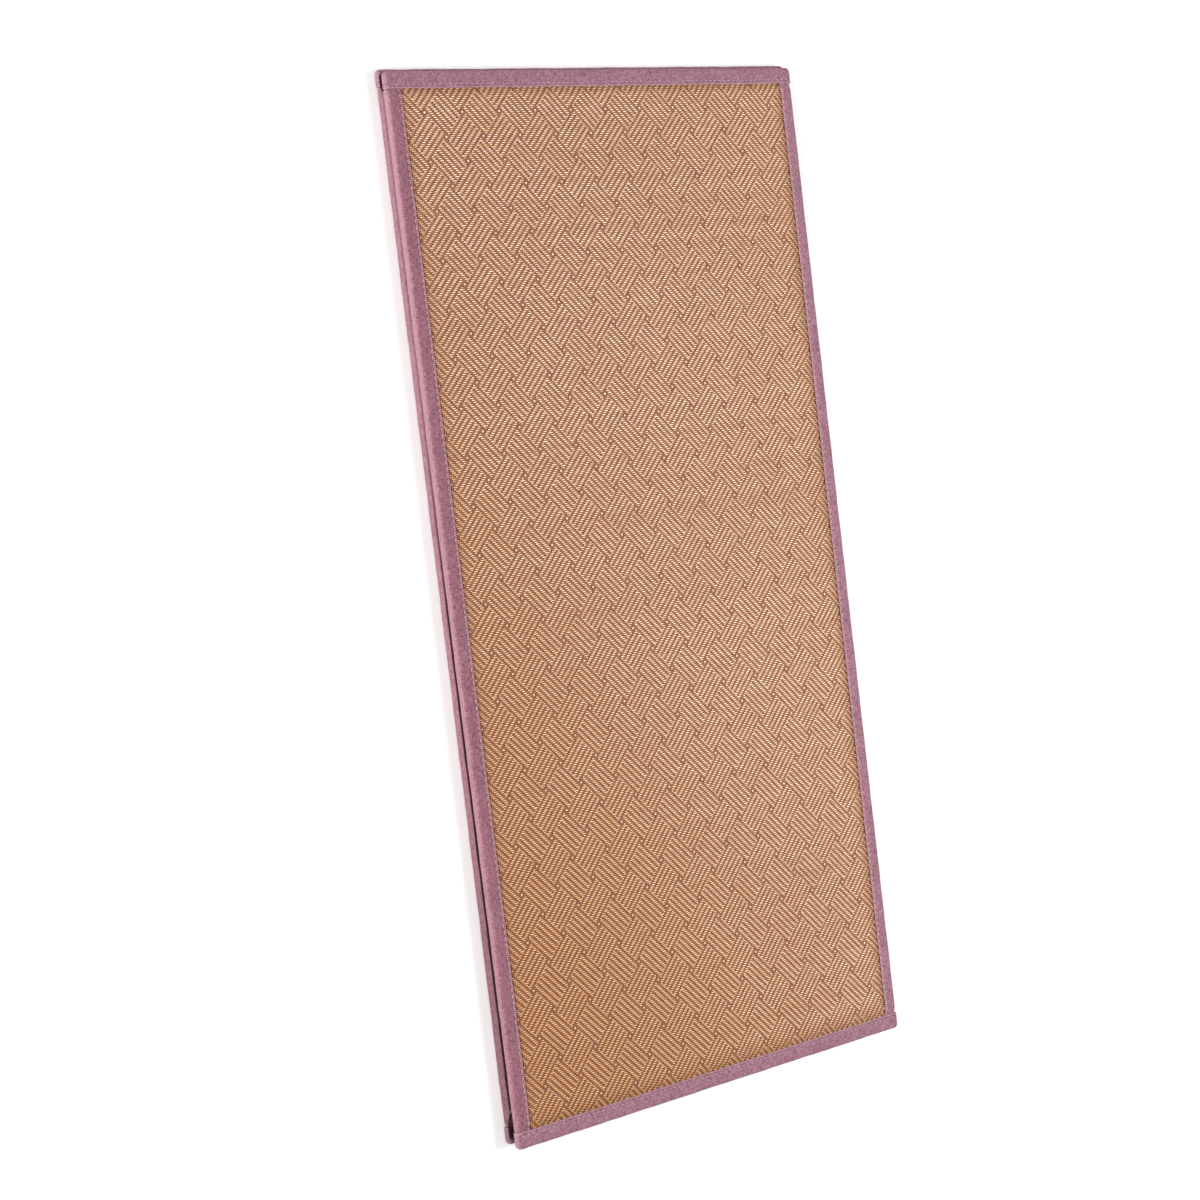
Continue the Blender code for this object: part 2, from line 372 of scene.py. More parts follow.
# %% Sewn edge
# Distance from a tape's cut edge comes from its UV map "seam": X runs along, Y is the distance in.
SIDE_SEAM_IN, END_SEAM_IN = 0.0017, 0.0036
STITCH_PITCH = 0.0060
GROOVE_HALF_WIDTH = 0.0014
# The tape is painted paler near its cut edge: partly wear, partly a painted highlight.
EDGE_WORN_AND_LIT = (0.0004, 0.0012)
seam_group, given, result = new_group(
    "sewn edge", "ShaderNodeTree",
    [("Run And Distance", "Vector", None), ("Seam Distance", "Float", SIDE_SEAM_IN),
     ("Stitch Pitch", "Float", STITCH_PITCH)],
    [("Height", "Float"), ("Edge", "Float"), ("Groove", "Float")],
)
seam = parts_of(given["Run And Distance"])
groove = ranged(abs(seam["Y"] - given["Seam Distance"]), (0.0, GROOVE_HALF_WIDTH), (1.0, 0.0))
pull = maths("COSINE", seam["X"] * (2 * math.pi) / given["Stitch Pitch"]) * 0.5 + 0.5
result.take({
    "Height": 1.0 - groove * (pull * 0.65 + 0.35),
    "Groove": groove,
    "Edge": ranged(seam["Y"], EDGE_WORN_AND_LIT, (1.0, 0.0)),
})
print("four shader groups")

# %% [markdown]
# ## Finishes
#
# The rush floats are golden and slightly glossy. Painted light makes them paler on their backs, and
# painted shade makes them redder on their flanks and where they dive under a warp yarn. Each float
# carries its own tone in an attribute, so no two neighbours match exactly. The warp yarns below are
# red brown, and painted shade darkens the grooves between them. Towards one corner at the fold the
# rush is painted more amber, as painted light where the broad reflection on the face is weaker, and
# beside the tapes painted shade makes it amber and then red. The tapes are a matt mauve cloth with a
# faint sheen. They are paler along the turned-in edge and round the fold, partly from wear and partly
# as a painted highlight, and painted shade darkens the sewn groove. The hinge strip is a deeper
# mauve, and painted shade makes its crease, and cloth that faces the other panel, nearly black.


# %% Helpers for materials
def new_material(name, roughness):
    material = bpy.data.materials.new(name)
    material.use_nodes = True
    tree = material.node_tree
    shader = Node(tree, tree.nodes["Principled BSDF"])
    shader.take({"Roughness": roughness})
    return material, tree, shader


def at_object(tree):
    """A point's place on the mat, in metres."""
    return add_node(tree, "ShaderNodeTexCoord")["Object"]


def patches(place, per_metre):
    inputs = {"Place": place, "Patches Per Metre": per_metre}
    return add_node(place.tree, "ShaderNodeGroup", inputs, node_tree=patch_group)["Mask"]


def fibres(place, length, width):
    inputs = {"Place": place, "Fibre Length": length, "Fibre Width": width}
    return add_node(place.tree, "ShaderNodeGroup", inputs, node_tree=fibre_group)["Streak"]


def plain_weave(place, pitch):
    inputs = {"Flat Cloth": place, "Thread Pitch": pitch}
    return add_node(place.tree, "ShaderNodeGroup", inputs, node_tree=weave_group)


def bump(height, distance, strength, normal=None):
    inputs = {"Height": height, "Distance": distance, "Strength": strength}
    if normal is not None:
        inputs["Normal"] = normal
    return add_node(height.tree, "ShaderNodeBump", inputs)[0]


# %% Rush floats
RUSH_PALE = (0.99, 0.715, 0.485, 1.0)
RUSH_GOLD = (0.69, 0.375, 0.185, 1.0)
RUSH_AMBER = (0.73, 0.345, 0.112, 1.0)
RUSH_SHADE_RED = (0.125, 0.038, 0.017, 1.0)
AMBER_CORNER_LIMITS, AMBER_CORNER_SLANT = (0.10, -0.50), 0.55
TAPE_SHADE_WITHIN, TAPE_SHADE_MOST = 0.016, 0.25


def amber_corner_light(place):
    """Painted light: the rush is more amber towards one corner at the fold, where the broad reflection that
    pales the rest of the face is weaker.
    """
    return ranged(place["X"] + place["Y"] * AMBER_CORNER_SLANT, AMBER_CORNER_LIMITS)


rush_float, tree, shader = new_material("rush float", 0.46)
spot = at_object(tree)
place = parts_of(spot)
tone = add_node(tree, "ShaderNodeAttribute", attribute_name="tone")["Fac"]
lift = add_node(tree, "ShaderNodeAttribute", attribute_name="lift")["Fac"]
streak = fibres(spot, 0.006, 0.00025)
colour = colour_mix(tone * 0.80 + (streak * 0.25 + patches(spot, 5.0) * 0.12), RUSH_GOLD, RUSH_PALE)
# Painted light: more amber towards one corner at the fold.
colour = colour_mix(amber_corner_light(place) * 0.8, colour, RUSH_AMBER)
# Painted shade: within 16 mm of a tape's inner edge the rush turns amber and then dark red, as in the tape's
# shadow.
past_edge = maths("MAXIMUM", abs(place["X"]) - INNER_X, abs(place["Y"]) - INNER_Y)
painted_tape_shade = ranged(past_edge, (-TAPE_SHADE_WITHIN, 0.0), (0.0, TAPE_SHADE_MOST))
colour = colour_mix(painted_tape_shade * 2.2, colour, RUSH_AMBER)
colour = colour_mix(painted_tape_shade, colour, RUSH_SHADE_RED)
# Painted shade: low on the lift attribute, on a float's flanks and ends, the colour turns dark red; its back
# keeps the paler colour.
shader.take({
    "Base Color": colour_mix(ranged(lift, (0.05, 0.90)), RUSH_SHADE_RED, colour),
    "Roughness": streak * 0.25 + 0.34,
    "Normal": bump(streak, 0.00012, 0.5),
})

# %% Warp yarns under the floats
REPEAT = 24
WARP_PITCH = 0.0428 / REPEAT
FIRST_EYE_X = -WIDTH / 2 + 0.1023
WARP_RED = (0.280, 0.095, 0.050, 1.0)
WARP_BROWN = (0.405, 0.182, 0.092, 1.0)
WARP_AMBER = (0.250, 0.085, 0.026, 1.0)
WARP_GROOVE_SHADE = (0.050, 0.016, 0.009, 1.0)
rush_warp, tree, shader = new_material("rush warp", 0.7)
spot = at_object(tree)
place = parts_of(spot)
round_yarn = abs(maths("SINE", (place["X"] - FIRST_EYE_X) * (math.pi / WARP_PITCH)))
colour = colour_mix(patches(spot, 160.0), WARP_RED, WARP_BROWN)
# Painted light: the warp too is more amber towards that corner.
colour = colour_mix(amber_corner_light(place) * 0.7, colour, WARP_AMBER)
# Painted shade: the colour darkens to near black in the groove between round warp yarns.
shader.take({
    "Base Color": colour_mix(round_yarn, WARP_GROOVE_SHADE, colour),
    "Normal": bump(round_yarn, 0.0006, 0.9),
})

# %% Backing cloth on the panels' facing sides
# The backing's near-black maroon also paints the shade in the gap between the panels, where it shows.
BACKING_DEEP, BACKING_PALE = (0.050, 0.018, 0.020, 1.0), (0.085, 0.035, 0.035, 1.0)
backing, tree, shader = new_material("backing cloth", 0.95)
spot = at_object(tree)
shader.take({
    "Base Color": colour_mix(patches(spot, 30.0), BACKING_DEEP, BACKING_PALE),
    "Normal": bump(plain_weave(spot, 0.0012)["Height"], 0.0002, 0.6),
})

# %% Mauve binding cloth
# The UV map "crease" holds two masks: X is 1 where painted shade makes the cloth nearly black, on cloth
# that faces inwards or lies in shade under the fold, and Y is 1 round the fold and at the caps' closed
# ends, which are painted paler, partly as wear and partly as a painted highlight.
CLOTH_DEEP = (0.130, 0.046, 0.066, 1.0)
CLOTH_MID = (0.348, 0.181, 0.230, 1.0)
HINGE_DEEP = (0.118, 0.041, 0.056, 1.0)
HINGE_MID = (0.308, 0.140, 0.177, 1.0)
CLOTH_WORN_AND_LIT = (0.450, 0.295, 0.345, 1.0)
CLOTH_PAINTED_SHADE = (0.018, 0.004, 0.007, 1.0)


def make_binding(name, seam_in, deep=CLOTH_DEEP, mid=CLOTH_MID):
    material, tree, shader = new_material(name, 0.82)
    flat_cloth = add_node(tree, "ShaderNodeUVMap", uv_map="cloth")[0]
    run_and_distance = add_node(tree, "ShaderNodeUVMap", uv_map="seam")[0]
    masks = parts_of(add_node(tree, "ShaderNodeUVMap", uv_map="crease")[0])
    painted_shade, rubbed_and_lit = masks["X"], masks["Y"]
    fine = plain_weave(flat_cloth, 0.00055)
    sewn = add_node(
        tree, "ShaderNodeGroup", {"Run And Distance": run_and_distance, "Seam Distance": seam_in},
        node_tree=seam_group,
    )
    dye = patches(at_object(tree), 55.0) * 0.13 + fibres(flat_cloth, 0.09, 0.0011) * 0.24
    colour = colour_mix(dye - 0.06 + fine["Thread Tone"] * 0.76, deep, mid)
    # Painted shade: darker in the sewn groove.
    colour = colour_mix(sewn["Groove"] * 0.22, colour, deep)
    # Paler along the turned-in edge and round the fold: partly wear, partly a painted highlight.
    colour = colour_mix(sewn["Edge"] * 0.45, colour, CLOTH_WORN_AND_LIT)
    colour = colour_mix(rubbed_and_lit * 0.33, colour, CLOTH_WORN_AND_LIT)
    woven = bump(fine["Height"], 0.00010, 0.45)
    # Painted shade: mask X makes the cloth nearly black and takes away its sheen.
    shader.take({
        "Base Color": colour_mix(painted_shade, colour, CLOTH_PAINTED_SHADE),
        "Specular IOR Level": 0.20,
        "Sheen Weight": (1.0 - painted_shade) * 0.12,
        "Sheen Roughness": 0.45,
        "Sheen Tint": (1.0, 0.86, 0.92, 1.0),
        "Normal": bump(sewn["Height"], 0.00035, 0.8, woven),
    })
    return material


side_binding = make_binding("mauve side binding", SIDE_SEAM_IN)
hinge_binding = make_binding("mauve hinge cloth", SIDE_SEAM_IN, HINGE_DEEP, HINGE_MID)
end_binding = make_binding("mauve end binding", END_SEAM_IN)

# %% Sewing thread
THREAD_DEEP, THREAD_PALE = (0.44, 0.23, 0.34, 1.0), (0.66, 0.42, 0.55, 1.0)
thread, tree, shader = new_material("sewing thread", 0.55)
spot = at_object(tree)
twisted = {"Vector": spot, "Scale": 900.0, "Distortion": 1.0}
twist = add_node(tree, "ShaderNodeTexWave", twisted, bands_direction="DIAGONAL")
shader.take({
    "Base Color": colour_mix(patches(spot, 400.0), THREAD_DEEP, THREAD_PALE),
    "Normal": bump(twist[1], 0.00008, 0.5),
})

# %% Floor finish
FLOOR_DARKER, FLOOR_PALER = (0.90, 0.90, 0.90, 1.0), (0.92, 0.92, 0.92, 1.0)
floor_finish, tree, shader = new_material("pale floor", 0.9)
shader.take({"Base Color": colour_mix(patches(at_object(tree), 1.5), FLOOR_DARKER, FLOOR_PALER)})
floor.data.materials.append(floor_finish)
print(len(bpy.data.materials), "finishes")

# %% Pale sky
# It lights the mat softly, and past the floor's edge it looks as white as the floor.
SKY_LIGHT, SKY_SEEN = 0.44, 1.0
world = bpy.data.worlds.new("pale sky")
world.use_nodes = True
sky = world.node_tree
seen = add_node(sky, "ShaderNodeLightPath")["Is Camera Ray"]
strength = ranged(seen, (0.0, 1.0), (SKY_LIGHT, SKY_SEEN), curve="LINEAR")
Node(sky, sky.nodes["Background"]).take({"Color": (1.0, 1.0, 1.0, 1.0), "Strength": strength})
scene.world = world

# %% [markdown]
# ## Pads
#
# Each panel is a thin pad with the rush weave sewn over its outer side. The pad's surface is a
# grid of points lifted by the rules above. Its outer side lies a little lower than the finished
# face, because the yarns of the weave stand on it. It is closed by its own rim, which the tapes
# hide.


# %% A pad from a shaped grid
WEAVE_DEPTH = 0.00085
LOOSENESS, LOOSE_FADE = 0.00022, 0.05
RIM_STEPS = (0.0, 0.0004, PAD_EDGE_R, 0.0035)
BEFORE_RAMP, RAMP_STEPS = 0.0006, 6
PAD_COLUMNS, PAD_ROWS = 30, 60
PANELS = ((True, "front"), (False, "back"))


def looseness(x, y):
    """The front face isn't perfectly flat: long shallow waves that die out towards the tapes."""
    fade = smooth((INNER_X - abs(x)) / LOOSE_FADE) * smooth((INNER_Y - abs(y)) / LOOSE_FADE)
    waves = math.sin(11 * x + 5 * y + 0.7) * math.sin(8.5 * y - 4 * x + 0.4) + 0.6 * math.sin(19 * y + 1.3)
    return LOOSENESS * fade * waves


def spaced(from_edge, count):
    """Places from one edge to the other: those given near the edge, even ones between, and mirrored."""
    inner = from_edge[-1]
    between = [inner - 2 * inner * i / count for i in range(1, count)]
    return from_edge + between + [-place for place in reversed(from_edge)]


def rim_places(edge, tape_edge):
    foot = tape_edge - TAPE_MARGIN
    ramp = [foot - RAMP * i / RAMP_STEPS for i in range(RAMP_STEPS + 1)]
    return [edge - step for step in RIM_STEPS] + [foot + BEFORE_RAMP] + ramp


def rim_share(x, y):
    """0 at the pad's very rim, rising to 1 round its edge."""
    inside = min(PAD_X - abs(x), PAD_Y - abs(y))
    lost = max(0.0, PAD_EDGE_R - inside)
    drop = PAD_EDGE_R - math.sqrt(max(0.0, PAD_EDGE_R ** 2 - lost ** 2))
    return 1 - drop / (PAD_T / 2 - SIDE_PRESS) if inside > 1e-9 else 0.0


def make_pad(name, loose):
    xs = spaced(rim_places(PAD_X, INNER_X), PAD_COLUMNS)
    ys = spaced(rim_places(PAD_Y, INNER_Y), PAD_ROWS)
    bm = bmesh.new()
    for side in (1, -1):
        rows = []
        for y in ys:
            rows.append([])
            for x in xs:
                z = pad_half(x, y) * rim_share(x, y)
                if side > 0 and z > WEAVE_DEPTH:
                    z += loose * looseness(x, y) - WEAVE_DEPTH
                rows[-1].append(bm.verts.new((x, y, side * z)))
        for row, next_row in zip(rows, rows[1:]):
            for i in range(len(xs) - 1):
                face = bm.faces.new([row[i], next_row[i], next_row[i + 1], row[i + 1]][::side])
                face.material_index = 0 if side > 0 else 1
                face.smooth = True
    bmesh.ops.remove_doubles(bm, verts=bm.verts[:], dist=1e-7)
    bmesh.ops.recalc_face_normals(bm, faces=bm.faces[:])
    mesh = finished_mesh(bm, name)
    mesh.materials.append(rush_warp)
    mesh.materials.append(backing)
    return add_object(name, mesh)


pads = {front: make_pad(f"pad_{side}", 1.0 if front else 0.0) for front, side in PANELS}
print("a pad has", len(pads[True].data.polygons), "faces")

# %% [markdown]
# ## The weave as a rule
#
# The face shows wide weft yarns, called floats, that run across the mat and dive under a thin warp
# yarn now and then. Where they dive decides the pattern. It repeats every 24 warps and 24 rows, and
# has small round eyes in two staggered sets. Above and below an eye of the first set the dives step
# one way, to its left and right they step the other way, and this makes the basket of slanting
# blocks. The rule needs only the column and row of a crossing, counted from an eye:
#
# - fold both into the range from -12 to 12;
# - where the row is the larger, the warp is on top when (column - row) leaves 2 after division by 4;
# - where the column is the larger, it is on top when (column + row) leaves 2;
# - the eight crossings round an eye also show the warp.
#
# One small node group holds the rule. It is asked about a crossing and its neighbours, to find where
# each float starts and how many warps it spans.

# %% Helpers for Geometry Nodes
def shape_of(given_object):
    """The mesh of an object that a tree is given."""
    return add_node(given_object.tree, "GeometryNodeObjectInfo", {"Object": given_object})["Geometry"]


def random_between(limits, seed, **more):
    inputs = {2: limits[0], 3: limits[1], "Seed": seed, **more}
    return add_node(seed.tree, "FunctionNodeRandomValue", inputs, data_type="FLOAT")[1]


def copies_on(points, shape, turned, size, **more):
    """A copy of a shape on each point, turned and scaled, as real faces."""
    inputs = {"Points": points, "Instance": shape, "Rotation": turned, "Scale": size, **more}
    laid = add_node(points.tree, "GeometryNodeInstanceOnPoints", inputs)
    return add_node(points.tree, "GeometryNodeRealizeInstances", {"Geometry": laid[0]})[0]


def with_finish(faces, finish):
    return add_node(faces.tree, "GeometryNodeSetMaterial", {"Geometry": faces, "Material": finish})[0]


# %% The rule for one crossing
HALF_REPEAT, DIVE_EVERY, DIVE_AT = REPEAT / 2, 4.0, 2.0
rule_group, given, result = new_group(
    "warp on top", "GeometryNodeTree",
    [("Column", "Float", 0.5), ("Row", "Float", 0.5)],
    [("Warp On Top", "Float"), ("Row Is Larger", "Float"), ("Row", "Float"), ("In Eye", "Float")],
)


def same(value, other):
    """1 where both are the same, otherwise 0."""
    return maths("COMPARE", value, other, 0.1)


def dive_on(count):
    """1 on every fourth step, where a float dives."""
    return same(maths("WRAP", count, DIVE_EVERY, 0.0), DIVE_AT)


def from_either_eye(far, steps):
    """Whether a crossing is so many steps from an eye of the first set or of the second."""
    return maths("MAXIMUM", same(far, steps), same(far, REPEAT - steps))


column = maths("WRAP", given["Column"], HALF_REPEAT, -HALF_REPEAT)
row = maths("WRAP", given["Row"], HALF_REPEAT, -HALF_REPEAT)
row_larger = maths("GREATER_THAN", abs(row), abs(column))
column_larger = maths("GREATER_THAN", abs(column), abs(row))
dives = maths("MAXIMUM", row_larger * dive_on(column - row), column_larger * dive_on(column + row))
far = abs(row) + abs(column)
result.take({
    "Warp On Top": maths("MAXIMUM", dives, from_either_eye(far, 2.0)),
    "Row Is Larger": row_larger,
    "In Eye": from_either_eye(far, 1.0),
    "Row": maths("WRAP", given["Row"], HALF_REPEAT / 2, -HALF_REPEAT / 2),
})


# %% One float
def make_float_shape():
    """A plump grain one warp long: a ridge of two points, a six-sided outline, eight triangles."""
    ridge, shoulder, low = 0.39, 0.42, -0.62
    points = [
        (-ridge, 0.0, 0.0), (ridge, 0.0, 0.0),
        (-0.5, 0.0, -1.0), (-shoulder, -0.5, low), (shoulder, -0.5, low),
        (0.5, 0.0, -1.0), (shoulder, 0.5, low), (-shoulder, 0.5, low),
    ]
    faces = [(0, 3, 4, 1), (1, 6, 7, 0), (0, 2, 3), (1, 4, 5), (1, 5, 6), (0, 7, 2)]
    mesh = bpy.data.meshes.new("float shape")
    mesh.from_pydata(points, [], faces)
    mesh.shade_smooth()
    # The lift attribute is 1 on the ridge and 0 at the outline; the rush finish uses it to paint shade on the
    # flanks and ends.
    lifts = mesh.attributes.new("lift", "FLOAT", "POINT")
    lifts.data.foreach_set("value", [1.0, 1.0] + [0.0, 0.18, 0.18] * 2)
    return add_object("float shape", mesh)


float_shape = make_float_shape()
print("one float has 8 triangles")

# %% The tree that lays the floats
WEFT_PITCH = 0.0455 / REPEAT
FLOAT_WIDTH, FLOAT_HEIGHT = 0.00141, 0.00090
TUCKED_IN, TUCKED_IN_EYE, DRAWN_TO_EYE = 0.45, 0.25, 0.55
UNEVEN_WIDTH, UNEVEN_PLACE, UNEVEN_TILT = (0.90, 1.08), (-0.00008, 0.00008), (-0.035, 0.035)
lay_tree, given, result = new_group(
    "lay floats", "GeometryNodeTree",
    [
        ("Pad", "Object", None), ("Float", "Object", None), ("Finish", "Material", None),
        ("Columns", "Int", 2), ("Rows", "Int", 2),
        ("Warp Pitch", "Float", WARP_PITCH), ("Weft Pitch", "Float", WEFT_PITCH),
        ("First Column", "Float", 0.5), ("First Row", "Float", 0.5),
        ("Eye X", "Float", 0.0), ("Eye Y", "Float", 0.0), ("Row Blocks", "Float", 1.0),
        ("Float Width", "Float", FLOAT_WIDTH), ("Float Height", "Float", FLOAT_HEIGHT),
        ("Seed", "Int", 7),
    ],
    [("Geometry", "Geometry")],
)
crossings = add_node(
    lay_tree, "GeometryNodeMeshGrid", {"Vertices X": given["Columns"], "Vertices Y": given["Rows"]},
)
index = add_node(lay_tree, "GeometryNodeInputIndex")[0]
column_number = maths("FLOOR", (index + 0.25) / given["Rows"])
row_number = index - column_number * given["Rows"]
column = column_number + given["First Column"]
row = row_number + given["First Row"]


def ask_rule(step):
    """The rule for the crossing a few columns further on."""
    asked = {"Column": column + float(step), "Row": row}
    return add_node(lay_tree, "GeometryNodeGroup", asked, node_tree=rule_group)


here, before = ask_rule(0), ask_rule(-1)
starts = (1.0 - here["Warp On Top"]) * before["Warp On Top"]
still_on, span = 1.0, 1.0
for step in (1, 2, 3):
    still_on = (1.0 - ask_rule(step)["Warp On Top"]) * still_on
    span = still_on + span
chosen = starts * same(here["Row Is Larger"], given["Row Blocks"])


def uneven(limits, number, seed_step):
    """A random value of its own for each number."""
    return random_between(limits, given["Seed"] + float(seed_step), ID=number)


float_tone = uneven((0.0, 1.0), index, 0)
yarn_tone = uneven((0.0, 1.0), row_number, 1)
toned = add_node(
    lay_tree, "GeometryNodeStoreNamedAttribute",
    {"Geometry": crossings["Mesh"], "Name": "tone", "Value": float_tone * 0.6 + yarn_tone * 0.4},
    data_type="FLOAT", domain="POINT",
)
middle = column + (span - 1.0) * 0.5
laid_row = row - here["In Eye"] * (here["Row"] * DRAWN_TO_EYE)
visible_span = span - (here["In Eye"] * TUCKED_IN_EYE + TUCKED_IN)
sway = uneven(UNEVEN_PLACE, index, 2)
centre = vector(
    lay_tree, X=given["Eye X"] + middle * given["Warp Pitch"],
    Y=given["Eye Y"] - laid_row * given["Weft Pitch"] + sway,
)
at_centre = add_node(lay_tree, "GeometryNodeSetPosition", {"Geometry": toned[0], "Position": centre})
float_size = vector(
    lay_tree, X=visible_span * given["Warp Pitch"],
    Y=given["Float Width"] * uneven(UNEVEN_WIDTH, index, 3), Z=given["Float Height"],
)
tilt = vector(lay_tree, Z=uneven(UNEVEN_TILT, index, 4))
laid = copies_on(at_centre[0], shape_of(given["Float"]), tilt, float_size, Selection=chosen)

# %% Letting the floats follow the pad
CAST_FROM, CAST_LENGTH = 0.1, 0.3
flat = parts_of(add_node(lay_tree, "GeometryNodeInputPosition")[0])
cast = add_node(lay_tree, "GeometryNodeRaycast", {
    "Target Geometry": shape_of(given["Pad"]),
    "Source Position": vector(lay_tree, X=flat["X"], Y=flat["Y"], Z=CAST_FROM),
    "Ray Direction": (0.0, 0.0, -1.0), "Ray Length": CAST_LENGTH,
})
lifted = vector(lay_tree, Z=parts_of(cast["Hit Position"])["Z"] + WEAVE_DEPTH)
following = add_node(lay_tree, "GeometryNodeSetPosition", {"Geometry": laid, "Offset": lifted})
result.take({"Geometry": with_finish(following[0], given["Finish"])})


# %% Running a tree and keeping its mesh
def keep_result(piece):
    """Apply every modifier, so that a plain mesh is left."""
    evaluated = piece.evaluated_get(bpy.context.evaluated_depsgraph_get())
    mesh = bpy.data.meshes.new_from_object(evaluated)
    piece.modifiers.clear()
    piece.data = mesh
    return piece


def run_tree(name, tree, values):
    """Give an empty object the tree with these inputs, and keep the result as a plain mesh object."""
    host = add_object(name, bpy.data.meshes.new(name + " start"))
    modifier = host.modifiers.new("tree", "NODES")
    modifier.node_group = tree
    sockets = {item.name: item.identifier for item in tree.interface.items_tree if item.in_out == "INPUT"}
    for label, value in values.items():
        modifier[sockets[label]] = value
    keep_result(host).data.name = name
    return host


def triangles(piece):
    return sum(len(p.vertices) - 2 for p in piece.data.polygons)


# %% Lay both faces
WEAVE_UNDER_TAPE = 0.0040
FIRST_EYE_Y = LENGTH / 2 - 0.0611
SEEDS = {True: 7, False: 19}
reach_x, reach_y = INNER_X + WEAVE_UNDER_TAPE, INNER_Y + WEAVE_UNDER_TAPE
first_column = math.ceil((-reach_x - FIRST_EYE_X) / WARP_PITCH) + 0.5
column_count = int((reach_x - FIRST_EYE_X) / WARP_PITCH - first_column)
first_row = math.ceil((FIRST_EYE_Y - reach_y) / WEFT_PITCH) + 0.5
row_count = int((FIRST_EYE_Y + reach_y) / WEFT_PITCH - first_row)
print(column_count, "warps and", row_count, "rows")

weaves = {True: [], False: []}
for front, side in PANELS:
    for blocks, label in ((1.0, "falling"), (0.0, "rising")):
        weave = run_tree(f"weave_{side}_{label}", lay_tree, {
            "Pad": pads[front], "Float": float_shape, "Finish": rush_float,
            "Columns": column_count, "Rows": row_count,
            "First Column": first_column, "First Row": first_row,
            "Warp Pitch": WARP_PITCH, "Weft Pitch": WEFT_PITCH,
            "Eye X": FIRST_EYE_X, "Eye Y": FIRST_EYE_Y, "Row Blocks": blocks,
            "Float Width": FLOAT_WIDTH, "Float Height": FLOAT_HEIGHT, "Seed": SEEDS[front],
        })
        weaves[front].append(weave)
        print(weave.name, "has", triangles(weave), "triangles")
bpy.data.objects.remove(float_shape)


# %% Put the panels where they lie
def put_in_place(piece, front):
    """Move a piece made round a panel's own middle to where that panel lies, in its mesh."""
    mesh = piece.data
    points = np.empty(len(mesh.vertices) * 3)
    mesh.vertices.foreach_get("co", points)
    points = points.reshape(-1, 3)
    if front:
        points[:, 2] += middle_plane(True, points[:, 0], points[:, 1])
        points[:, 1] += FRONT_Y
    else:
        points[:, 0] *= -1
        points[:, 2] = PAD_T / 2 - points[:, 2]
        points[:, 1] += BACK_Y
    mesh.vertices.foreach_set("co", points.ravel())
    mesh.update()


for front, side in PANELS:
    for piece in [pads[front]] + weaves[front]:
        put_in_place(piece, front)

# %% [markdown]
# ## Tapes folded over the long sides
#
# A side binding is one strip of cloth, folded round the panel's edge, with its own edges turned in
# and sewn down close to the turn. Its outline across the mat is drawn as a list of points at many
# places along the panel, a little lower at the seam. Solidify gives the cloth its millimetre, and
# Bevel rounds the turned-in edge. The hinge strip is the same kind of piece, with a lobe round each
# panel's side and a crease between them.


# %% Skin a row of sections
TURNED_R, SHARP_ANGLE = 0.00035, math.radians(50)


def skin(name, sections, runs, inward_shade, rubbed_and_lit, material):
    """A cloth surface through equally long sections. Its flat size is kept in two UV maps, and in a third
    how much painted shade each point takes and how much it is painted paler, by wear and by a painted
    highlight."""
    rows, cols = len(sections), len(sections[0])
    points = np.array(sections, float)
    steps = np.linalg.norm(np.diff(points, axis=1), axis=2)
    middle = np.concatenate([[0.0], np.cumsum(steps[rows // 2])])
    across = np.ones((rows, 1)) * middle
    distance = np.minimum(across, middle[-1] - across)
    run = np.array(runs)[:, None] * np.ones((1, cols))
    faces = [
        (j * cols + i, j * cols + i + 1, (j + 1) * cols + i + 1, (j + 1) * cols + i)
        for j in range(rows - 1) for i in range(cols - 1)
    ]
    mesh = bpy.data.meshes.new(name)
    mesh.from_pydata(points.reshape(-1, 3).tolist(), [], faces)
    mesh.shade_smooth()
    corners = np.array(faces).ravel()
    shade_mask = np.ones((rows, 1)) * np.array(inward_shade)
    worn_and_lit = np.ones((rows, 1)) * np.array(rubbed_and_lit)
    for layer, first, second in (("cloth", run, across), ("seam", run, distance), ("crease", shade_mask, worn_and_lit)):
        uv = np.stack([first.ravel()[corners], second.ravel()[corners]], axis=1)
        mesh.uv_layers.new(name=layer).data.foreach_set("uv", uv.ravel())
    mesh.materials.append(material)
    return add_object(name, mesh), (float(middle[-1]), float(max(runs) - min(runs)))


def thicken(piece, even=True):
    """Give the cloth its thickness inwards and round its edges."""
    solid = piece.modifiers.new("cloth thickness", "SOLIDIFY")
    solid.thickness, solid.offset, solid.use_even_offset = TAPE_T, -1.0, even
    round_edge = piece.modifiers.new("turned edge", "BEVEL")
    round_edge.width, round_edge.segments = TURNED_R, 2
    round_edge.limit_method, round_edge.angle_limit = "ANGLE", SHARP_ANGLE
    round_edge.harden_normals = False


# %% Outlines across a tape
SEAM_DEPTH, SEAM_REACH = 0.00028, 0.0008
SIDE_FLAP = (0.0, 0.0004, 0.0009, 0.0013, 0.0017, 0.0021, 0.0028, 0.0040, 0.0065, 0.0090)
END_FLAP = (0.0, 0.0005, 0.0014, 0.0024, 0.0030, 0.0036, 0.0042, 0.0050, 0.0065, 0.0095)
CORNER_STEPS, LOBE_STEPS, CREASE_STEPS = 6, 7, 6
EDGE_FLAT = 0.0002
RIPPLE = 0.00010
CLOSE_STATIONS, CLOSE_STEP, STATION_STEP = 16, 0.0015, 0.006


def arc(centre_x, centre_z, radius, first, last, steps=CORNER_STEPS):
    """Points on an arc, angles in degrees."""
    angles = [math.radians(lerp(first, last, i / steps)) for i in range(steps + 1)]
    return [(centre_x + radius * math.cos(a), centre_z + radius * math.sin(a)) for a in angles]


